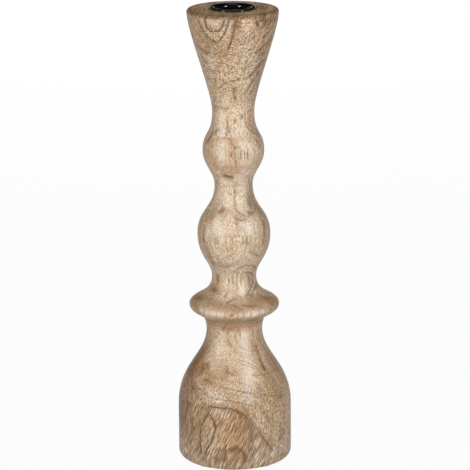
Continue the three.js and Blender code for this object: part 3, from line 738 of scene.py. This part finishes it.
class Hardwood(Finish):
    """The turned body's wood, made in steps that are taken in the order in which they stand."""

    def __init__(self):
        super().__init__("sanded_tan_hardwood")
        self.at = self.place()
        self.across, self.back, self.height = parts(self.at)
        self.from_axis = length(scale(self.at, (1, 1, 0)))
        self.around = number("ARCTAN2", self.across, times(self.back, -1))
        self.around = times(self.around, 1000 * BASE_RADIUS)

    def above(self, band):
        """0 below a band of heights, 1 above it."""
        return ease(self.height, *band)

    def below(self, band):
        return ease(self.height, *reversed(band))

    def from_spot(self, spot, flat):
        """The distance from a spot on the base, in which heights count for less."""
        place = joined(self.around, times(self.height, flat))
        return length(vector("SUBTRACT", place, (spot[0], spot[1] * flat, 0)))

    def stain(self, share, tone, blend="MIX"):
        """Lays a tone over the colour so far."""
        self.colour = mix(share, self.colour, tone, blend)

    def lay_grain(self):
        """The grain runs up the blank and wanders. In the head its fibres and pores are cut short."""
        self.waver = wander(self.at, (9, 9, 17), 0.9)
        self.grain = shift(self.at, wander(self.at, (48, 48, 95), 7))
        self.grain = shift(self.grain, self.waver)
        high = number("SMOOTH_MAX", minus(self.height, SHORT_FIBRE_HEIGHT), 0, 16)
        self.fine = shift(self.grain, joined(0, 0, times(high, 0.9)))
        self.rough_edge = times(minus(noise(self.at, (2.5, 2.5, 2.5), 1), 0.5), EDGE_ROUGHNESS)

    def lean_under_arch(self):
        """Below the arch in the base, fibres and pores are long, and lean to the right."""
        leaning = minus(self.around, times(self.height, BASE_LEAN))
        self.raked = shift(joined(leaning, 0, times(self.height, 0.5)), self.waver)
        fall = number("SMOOTH_MAX", minus(self.across, ARCH_X), 0, 8)
        arch = plus(times(fall, ARCH_SLOPE), plus(self.height, self.rough_edge))
        self.below_arch = number("GREATER_THAN", minus(ARCH_HEIGHT, arch), 0)
        self.fine = mix(self.below_arch, self.fine, self.raked)

    def bend_round_branch(self):
        """In the head, layers and fibres bend round a branch that left the trunk above its top."""
        drop = times(minus(BRANCH_HEIGHT, self.height), 0.85)
        bent = shift(joined(minus(self.across, BRANCH_X), drop), wander(self.at, (11, 11, 11), 2.2))
        self.from_branch = length(bent)
        turned = times(number("ARCTAN2", *parts(bent)[:2]), 42)
        ringed = joined(times(self.from_branch, 0.95), self.back, turned)
        edge = plus(self.height, self.rough_edge)
        self.in_head = number("GREATER_THAN", edge, BENT_FIBRE_HEIGHT)
        self.fine = mix(self.in_head, self.fine, ringed)

    def grow_layers(self):
        """Growth layers lie round a pith that ran behind the blank, to the right."""
        depth = scale(vector("SUBTRACT", self.grain, PITH), (1, 1, 0))
        depth = mix(self.in_head, length(depth), self.from_branch)
        self.broad = layers(number("DIVIDE", depth, BROAD_LAYER), 2, 0.6)
        thin = layers(number("DIVIDE", depth, THIN_LAYER), 1, 0.5)
        faded = ease(noise(self.at, (13, 13, 24)), 0.4, 0.64)
        self.late_wood = times(ease(thin, 0.55, 0.66), faded)

    def colour_bare_wood(self):
        """Pale tan, greyer and browner by turns, paler between the collar and the head, and
        darker where the blank is widest, from about 23 to 31 mm out from the axis."""
        self.clouds = noise(self.grain, (15, 15, 26), 3, 0.6)
        blush = noise(shift(self.grain, (138.7, 36.1, 98.4)), (19, 19, 24))
        olive = noise(shift(self.grain, (32.4, 109.2, 66)), (12, 12, 20))
        outer = ease(plus(self.from_axis, times(self.clouds, 6)), 23, 31)
        stem = times(self.above(LOWER_WAIST), self.below(UPPER_BEAD))
        self.colour = mix(ease(self.clouds, 0.34, 0.66), paint(229, 209, 185), paint(211, 184, 150))
        self.stain(ease(blush, 0.5, 0.7, 0, 0.3), paint(206, 166, 129))
        self.stain(ease(olive, 0.5, 0.68, 0, 0.45), paint(196, 183, 156))
        self.stain(ease(self.broad, 0.45, 0.68, 0, 0.4), paint(172, 137, 95))
        self.stain(times(self.late_wood, 0.5), paint(116, 84, 54))
        self.stain(times(stem, 0.26), paint(240, 224, 206))
        self.stain(outer, paint(242, 234, 224), "MULTIPLY")
        self.stain(ease(self.from_spot(HONEY_SPOT, 0.7), 9, 3, 0, 0.45), paint(214, 174, 116))
        self.stain(times(self.below(FOOT_EDGE), 0.3), paint(240, 224, 204))
        self.stain(self.above(HEAD_FOOT), paint(250, 245, 240), "MULTIPLY")

    def show_figure_and_painted_light(self):
        """The drawn figure, with its painted sheen and painted shade, is broken up by the fibres, and
        the edges of its lines waver.
        """
        self.fibres = noise(self.fine, (0.5, 0.5, 2.2), 1, 0.5)
        ragged = ease(self.fibres, 0.3, 0.7, 0.75, 1.25)
        uneven = times(minus(noise(self.at, (1.3, 1.3, 1.3), 1), 0.5), 2.4)
        self.dark, red, self.pale = self.drawn("figure_and_painted_light")
        for offset, strength in zip(self.drawn("line_offsets"), self.drawn("line_strengths")):
            beside = number("ABSOLUTE", plus(offset, uneven))
            self.dark = larger(self.dark, times(ease(beside, 1.15, 0.35), strength))
        # Pale, brown and dark strokes: many pale ones are a painted sheen of the lamps on the oil, and
        # the wide brown and dark bands at the sides and under the collar are painted shade.
        self.stain(times(self.pale, 0.9), paint(238, 225, 212))
        self.stain(times(red, ragged), paint(150, 100, 60))
        self.stain(times(self.dark, ragged), paint(76, 50, 33))

    def show_fibres(self):
        """Fibres run along the grain. They and the pores are deeper in the base and the head, and
        are held back where the figure is pale or dark, so that the painted sheen washes them out."""
        self.deep = larger(self.below(BASE_TOP), self.above(HEAD_FIBRES))
        hidden = times(self.pale, ease(self.deep, 0, 1, 0.75, 0.2))
        self.shown = minus(1, larger(hidden, times(self.dark, 0.6)))
        depth = plus(ease(self.deep, 0, 1, 0.42, 0.6), times(self.in_head, 0.14))
        tint = times(ease(self.fibres, 0.44, 0.58), depth)
        strands = noise(self.fine, (1.5, 1.5, 26), 2, 0.6)
        flecks = dashes(shift(self.fine, (31, 17, 5)), (1.1, 1.1, 2.6), 0.22, 0.42)
        bright = ease(minus(self.deep, self.below_arch), 0, 1, 0, 0.35)
        self.stain(times(tint, self.shown), paint(124, 96, 68))
        self.stain(ease(strands, 0.45, 0.7, 0, 0.25), paint(146, 116, 84))
        self.stain(times(flecks, bright), paint(236, 220, 194))

    def cut_pores(self):
        """Open pores, cut as short dashes along the grain, and below the arch long dark rays,
        which leave out the eye of the knot."""
        large = dashes(self.fine, (1.4, 1.4, 6), 0.24, 0.34)
        small = dashes(self.fine, (0.85, 0.85, 2.8), 0.26, 0.38)
        self.pores = larger(times(large, 0.6), small)
        depth = plus(ease(self.deep, 0, 1, 0.4, 0.62), times(self.in_head, 0.12))
        self.stain(times(self.pores, times(self.shown, depth)), paint(84, 60, 42))
        rays = ease(noise(self.raked, (0.74, 1, 4.5), 1), 0.5, 0.57)
        eye = ease(self.from_spot(KNOT_EYE, 0.35), 3.6, 4.6, 0.1, 0.6)
        self.stain(times(times(rays, self.below_arch), eye), paint(104, 76, 48))

    def darken_end_grain(self):
        """End grain drinks more oil and is darker."""
        normal = node("ShaderNodeNewGeometry", tree=self.tree).outputs["Normal"]
        facing = number("ABSOLUTE", parts(normal)[2])
        share = times(ease(facing, 0.8, 1, 0, 0.55), minus(1, self.above(TOP_EDGE)))
        self.stain(share, paint(164, 132, 98), "MULTIPLY")

    def colour_top_face(self):
        """The flat top is darkest, with specks and dots, two curls, and shade against the cup."""
        specks = noise(self.at, (0.6, 0.9, 4), 1.5, 0.6)
        dots = dashes(self.at, (1.1, 1.6, 4), 0.24, 0.4)
        sawn = mix(ease(specks, 0.38, 0.62), paint(214, 181, 141), paint(149, 113, 79))
        sawn = mix(ease(self.broad, 0.42, 0.62, 0, 0.5), sawn, paint(118, 86, 56))
        for x, y in CURLS:
            away = vector("SUBTRACT", self.at, (x, y, 0))
            away = length(scale(away, (1, 0.5, 0)))
            rings = ease(number("SINE", times(away, 2.2)), -0.2, 0.6)
            rings = times(rings, ease(away, 7, 4.5, 0, 0.8))
            sawn = mix(rings, sawn, paint(120, 78, 46))
        sawn = mix(times(dots, 0.8), sawn, paint(76, 52, 34))
        sawn = mix(ease(self.from_axis, 24.5, 28), sawn, paint(206, 200, 194), "MULTIPLY")
        shade = ease(self.from_axis, *reversed(CUP_SHADE), 0, 0.8)
        self.stain(self.above(TOP_EDGE), mix(shade, sawn, paint(52, 42, 36)))

    def oil(self):
        """A thin satin oil, duller in the pores, through which fibres and pores are felt."""
        gloss = ease(self.clouds, 0.3, 0.7, 0.42, 0.52)
        relief = bump(self.fibres, metres=0.00006)
        self.surface({
            "Base Color": self.colour,
            "Roughness": plus(gloss, times(self.pores, 0.2)),
            "Normal": bump(minus(1, self.pores), metres=0.00012, Normal=relief),
            "Coat Weight": 0.3,
            "Coat Roughness": 0.36,
            "Coat IOR": 1.8,
            "Specular IOR Level": 0.05,
        })


def wood_finish():
    wood = Hardwood()
    wood.lay_grain()
    wood.lean_under_arch()
    wood.bend_round_branch()
    wood.grow_layers()
    wood.colour_bare_wood()
    wood.show_figure_and_painted_light()
    wood.show_fibres()
    wood.cut_pores()
    wood.darken_end_grain()
    wood.colour_top_face()
    wood.oil()
    return wood.material


turned_wood.data.materials.append(wood_finish())
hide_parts("turned_body")
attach(turned_wood, "root")


# Candle cup. Drawn from one sheet of steel for a taper with a 22 mm foot, with a rolled lip,
# a rim whose edge is bent down to the wood, and a dimple in its floor for the screw. It is
# dipped in black lacquer, which pools a little and picks up specks of dust.
CUP_BORE_RADIUS = 0.0110
CUP_DEPTH = 0.0250
SHEET = 0.0006
FLOOR_BEND = 0.0014
LIP_BEND_WIDTH = 0.0013
LIP_BEND_HEIGHT = 0.0020
CROWN_WIDTH = 0.0012
EDGE_BEND = 0.0003
EDGE_DROP = 0.0004
SCREW_HOLE_RADIUS = 0.00205
DIMPLE_RADIUS = 0.0041
DIMPLE_DEPTH = 0.00205
CUP_SIDES = 160


def cup_outline():
    """Out along the cup's underside from the screw's hole, over the rim and back inside."""
    floor = WOOD_TOP - CUP_DEPTH
    corner = (CUP_BORE_RADIUS - FLOOR_BEND, floor + FLOOR_BEND)
    inside = CUP_BORE_RADIUS + SHEET + LIP_BEND_WIDTH
    outside = inside + CROWN_WIDTH
    rim = outside + EDGE_BEND + SHEET
    crown = WOOD_TOP + EDGE_DROP + EDGE_BEND + SHEET
    lip = (inside, crown - SHEET - LIP_BEND_HEIGHT)
    edge = (outside, WOOD_TOP + EDGE_DROP)
    thick = (LIP_BEND_WIDTH + SHEET, LIP_BEND_HEIGHT + SHEET)
    return [
        (SCREW_HOLE_RADIUS, floor - DIMPLE_DEPTH - SHEET),
        (DIMPLE_RADIUS, floor - SHEET),
        *arc(corner, FLOOR_BEND + SHEET, FLOOR_BEND + SHEET, -90, 0, points=8),
        *arc(lip, LIP_BEND_WIDTH, LIP_BEND_HEIGHT, 180, 90, points=12),
        *arc(edge, EDGE_BEND, EDGE_BEND, 90, 0, points=5),
        (rim - SHEET, WOOD_TOP),
        (rim, WOOD_TOP),
        *arc(edge, EDGE_BEND + SHEET, EDGE_BEND + SHEET, 0, 90, points=9),
        *arc(lip, *thick, 90, 180, points=16),
        *arc(corner, FLOOR_BEND, FLOOR_BEND, 0, -90, points=8),
        (DIMPLE_RADIUS, floor),
        (SCREW_HOLE_RADIUS, floor - DIMPLE_DEPTH),
    ]


def lacquer_finish():
    lacquer = Finish("black_lacquer")
    place = lacquer.place()
    pooled = noise(place, (5, 5, 5))
    specks = dashes(place, (1.1, 1.1, 1.1), 0.05, 0.12)
    skin = noise(place, (0.9, 0.9, 0.9), 1.0)
    black = mix(pooled, paint(12, 13, 15), paint(24, 22, 21))
    lacquer.surface({
        "Base Color": mix(times(specks, 0.5), black, paint(96, 84, 72)),
        "Roughness": plus(ease(pooled, 0.3, 0.7, 0.10, 0.18), times(specks, 0.3)),
        "Normal": bump(skin, metres=0.00002),
        "Coat Weight": 0.6,
        "Coat Roughness": 0.08,
    })
    return lacquer.material


drawn_cup = spun("drawn_cup", cup_outline(), CUP_SIDES, crease=35, closed=True)
drawn_cup.data.materials.append(lacquer_finish())
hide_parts("candle_cup")
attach(drawn_cup, "root")


# Screw that holds the cup down. A countersunk wood screw of bright steel with a cross recess
# and a rolled thread. Its head lies in the cup's dimple, level with the floor.
SCREW_HEAD_RADIUS = 0.0035
SCREW_SHANK_RADIUS = 0.00175
SCREW_LENGTH = 0.0200
SCREW_POINT = 0.0030
SCREW_HEAD_LAND = 0.0003
RECESS_SPAN = 0.0034
RECESS_WIDTH = 0.0009
RECESS_DEPTH = 0.0011
RECESS_TAPER = 0.8
THREAD_RADIUS = 0.0020
THREAD_ROOT = SCREW_SHANK_RADIUS * 0.97
THREAD_PITCH = 0.0014
THREAD_WIDTH = THREAD_PITCH * 0.5
THREAD_TURNS = 9
THREAD_START = 0.0035
SCREW_SIDES = 48


def only(kind, group):
    """The parts of one kind in a group of mesh parts."""
    return [part for part in group if isinstance(part, kind)]


def sink_recess(work, rim, floor):
    """Closes the head's top inside its rim with a cross recess, a little smaller at its floor."""
    far, near = RECESS_SPAN / 2, RECESS_WIDTH / 2
    cross = []
    for quarter in range(4):
        turn = Matrix.Rotation(quarter * math.pi / 2, 4, "Z")
        for x, y in ((far, -near), (far, near), (near, near)):
            cross.append(work.verts.new(turn @ Vector((x, y, floor))))
    mouth = [work.edges.new(pair) for pair in zip(cross, cross[1:] + cross[:1])]
    bmesh.ops.bridge_loops(work, edges=rim + mouth)
    sunk = bmesh.ops.extrude_edge_only(work, edges=mouth)["geom"]
    corners = only(bmesh.types.BMVert, sunk)
    edges = [edge for edge in only(bmesh.types.BMEdge, sunk) if set(edge.verts) <= set(corners)]
    bmesh.ops.scale(work, verts=corners, vec=(RECESS_TAPER, RECESS_TAPER, 1))
    bmesh.ops.translate(work, verts=corners, vec=(0, 0, -RECESS_DEPTH))
    bmesh.ops.contextual_create(work, geom=edges)


def wind_thread(work, top):
    """Winds the thread, one three-cornered ridge, down the shank from a height."""
    ridge = [
        work.verts.new((THREAD_ROOT, 0, top)),
        work.verts.new((THREAD_RADIUS, 0, top - THREAD_WIDTH / 2)),
        work.verts.new((THREAD_ROOT, 0, top - THREAD_WIDTH)),
    ]
    section = work.faces.new(ridge)
    steps = THREAD_TURNS * SCREW_SIDES // 2
    end = bmesh.ops.spin(
        work, geom=ridge + list(section.edges), cent=(0, 0, 0), axis=(0, 0, 1),
        dvec=(0, 0, -THREAD_PITCH * THREAD_TURNS / steps), angle=2 * math.pi * THREAD_TURNS,
        steps=steps, use_merge=False,
    )["geom_last"]
    bmesh.ops.contextual_create(work, geom=only(bmesh.types.BMEdge, end))


def recessed_screw():
    floor = WOOD_TOP - CUP_DEPTH
    cone = SCREW_HEAD_LAND + SCREW_HEAD_RADIUS - SCREW_SHANK_RADIUS
    outline = [
        (0, floor - SCREW_LENGTH),
        (SCREW_SHANK_RADIUS, floor - SCREW_LENGTH + SCREW_POINT),
        (SCREW_SHANK_RADIUS, floor - cone),
        (SCREW_HEAD_RADIUS, floor - SCREW_HEAD_LAND),
        (SCREW_HEAD_RADIUS, floor),
    ]
    work = bmesh.new()
    revolve(work, outline, SCREW_SIDES)
    sink_recess(work, [edge for edge in work.edges if edge.is_boundary], floor)
    wind_thread(work, floor - THREAD_START)
    return finished("cross_screw", work, crease=30)


def screw_finish():
    steel = Finish("bright_screw_steel")
    place = steel.place()
    brushed = noise(place, (0.25, 0.25, 1.5), 3.0, 0.6)
    stained = noise(place, (1.6, 1.6, 1.6))
    steel.surface({
        "Base Color": mix(ease(stained, 0.35, 0.7), paint(190, 188, 182), paint(142, 136, 126)),
        "Metallic": 1.0,
        "Roughness": ease(brushed, 0.3, 0.7, 0.24, 0.42),
        "Normal": bump(brushed, metres=0.00001),
    })
    return steel.material


cross_screw = recessed_screw()
cross_screw.data.materials.append(screw_finish())
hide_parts("cup_screw")
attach(cross_screw, "root")


# Felt pads. Four punched discs of pressed brown felt, stuck under the base just inside its
# rounded edge, with edges that are a little rounded and fibres that lie every way.
PAD_COUNT = 4
PAD_RADIUS = 0.0060
PAD_EDGE_MARGIN = 0.0014
PAD_ROUNDING = 0.0003
PAD_SIDES = 64
PAD_CIRCLE = BASE_RADIUS - FOOT_ROUNDING - PAD_EDGE_MARGIN - PAD_RADIUS


def felt_finish():
    felt = Finish("pressed_brown_felt")
    place = felt.place()
    matted = noise(place, (0.5, 0.5, 0.3), 4.0, 0.7)
    mottled = noise(place, (2.5, 2.5, 2.5))
    brown = mix(mottled, paint(92, 72, 56), paint(72, 56, 44))
    felt.surface({
        "Base Color": mix(ease(matted, 0.45, 0.75, 0.0, 0.5), brown, paint(128, 106, 86)),
        "Roughness": ease(matted, 0.2, 0.8, 0.9, 1.0),
        "Normal": bump(matted, metres=0.0001),
        "Sheen Weight": 0.4,
        "Sheen Roughness": 0.6,
    })
    return felt.material


felt_material = felt_finish()
pad_edge = PAD_RADIUS - PAD_ROUNDING
pad_outline = [
    (0, 0),
    *arc((pad_edge, PAD_ROUNDING), PAD_ROUNDING, PAD_ROUNDING, -90, 0, points=5),
    *arc((pad_edge, PAD_THICKNESS - PAD_ROUNDING), PAD_ROUNDING, PAD_ROUNDING, 0, 90, points=5),
    (0, PAD_THICKNESS),
]
for index in range(PAD_COUNT):
    pad = spun(f"soft_pad_{index + 1}", pad_outline, PAD_SIDES, crease=50)
    turn = 2 * math.pi * (index + 0.5) / PAD_COUNT
    pad.data.transform(Matrix.Translation((PAD_CIRCLE * math.cos(turn), PAD_CIRCLE * math.sin(turn), 0)))
    pad.data.materials.append(felt_material)
    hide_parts(f"felt_pad_{index + 1}")
    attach(pad, "root")


# Floor and light. A plain white table that keeps the holder's shadow, in a white room. Broad
# soft boxes in front and behind light the wood, two small ones at the sides glint in the
# lacquer, and a weak one hangs overhead.
TABLE_REACH = 6.0
TABLE_DROP = 0.0001
TABLE_GLOW_SHARE = 0.96
WHITE = (1, 1, 1, 1)
WORLD_LEVEL = 0.01
BACKDROP_FULL_RISE = 0.02
BACKDROP_END_RISE = 0.14
LIGHT_HEIGHT = 0.15
# Each soft box: its name, its azimuth to the right of the camera and its elevation in degrees,
# its distance, width and height in metres, its watts, and whether the lacquer mirrors it.
SOFT_BOXES = (
    ("front_box", 0, 22, 1.5, 1.2, 1.2, 20.5, False),
    ("back_box", 180, 16, 1.8, 1.2, 1.2, 26, False),
    ("left_box", -47, 22, 1.2, 0.30, 0.26, 3.1, True),
    ("right_box", 47, 22, 1.2, 0.28, 0.26, 3.0, True),
    ("top_box", 0, 78, 1.5, 0.9, 0.9, 2, True),
)


def mirrored_or_seen(tree):
    """1 for a ray that a gloss or glass sent on, and 1 for the camera's own ray."""
    rays = node("ShaderNodeLightPath", tree=tree).outputs
    return larger(rays["Is Glossy Ray"], rays["Is Transmission Ray"]), rays["Is Camera Ray"]


def white_stage():
    stage = Finish("white_stage")
    stage.surface({"Base Color": paint(204, 203, 201), "Roughness": 0.9})
    glow = node("ShaderNodeEmission", {"Color": WHITE, "Strength": 1.0}, stage.tree)
    mirrored, seen = mirrored_or_seen(stage.tree)
    share = times(larger(seen, mirrored), TABLE_GLOW_SHARE)
    both = node("ShaderNodeMixShader", {0: share, 1: stage.shader.outputs[0], 2: glow.outputs[0]})
    feed(stage.tree.nodes["Material Output"].inputs["Surface"], both.outputs[0])
    return stage.material


def white_room():
    """A world that is white to the camera and, low down, in mirrors, but gives little light."""
    world = bpy.data.worlds.new("studio")
    world.use_nodes = True
    room = world.node_tree
    dim = room.nodes["Background"]
    feed(dim.inputs["Color"], WHITE)
    feed(dim.inputs["Strength"], WORLD_LEVEL)
    white = node("ShaderNodeBackground", {"Color": WHITE}, room)
    mirrored, seen = mirrored_or_seen(room)
    rise = parts(node("ShaderNodeTexCoord", tree=room).outputs["Generated"])[2]
    fade = {"Value": rise, "From Min": BACKDROP_END_RISE, "From Max": BACKDROP_FULL_RISE}
    low = node("ShaderNodeMapRange", fade).outputs[0]
    share = number("MULTIPLY_ADD", mirrored, low, seen)
    both = node("ShaderNodeMixShader", {0: share, 1: dim.outputs[0], 2: white.outputs[0]})
    feed(room.nodes["World Output"].inputs["Surface"], both.outputs[0])
    return world


def soft_box(name, azimuth, elevation, distance, wide, tall, power, mirrored):
    """A soft box that faces the holder's middle and that the camera doesn't see."""
    turn, rise = math.radians(azimuth), math.radians(elevation)
    middle = Vector((0, 0, LIGHT_HEIGHT))
    away = Vector((math.sin(turn) * math.cos(rise), -math.cos(turn) * math.cos(rise), math.sin(rise)))
    light = bpy.data.lights.new(name, "AREA")
    light.shape = "RECTANGLE"
    light.size = wide
    light.size_y = tall
    light.energy = power
    lamp = bpy.data.objects.new(name, light)
    lamp.visible_glossy = mirrored
    lamp.visible_camera = False
    facing = away.to_track_quat("Z", "Y").to_matrix().to_4x4()
    lamp.matrix_world = Matrix.Translation(middle + away * distance) @ facing
    bpy.context.collection.objects.link(lamp)


table_work = bmesh.new()
bmesh.ops.create_grid(table_work, x_segments=1, y_segments=1, size=TABLE_REACH)
bmesh.ops.translate(table_work, verts=table_work.verts, vec=(0, 0, -TABLE_DROP))
table_mesh = bpy.data.meshes.new("table")
table_work.to_mesh(table_mesh)
table_work.free()
table_mesh.materials.append(white_stage())
table = bpy.data.objects.new("table", table_mesh)
bpy.context.collection.objects.link(table)

bpy.context.scene.world = white_room()
for box in SOFT_BOXES:
    soft_box(*box)
bpy.context.scene.view_settings.view_transform = "Standard"
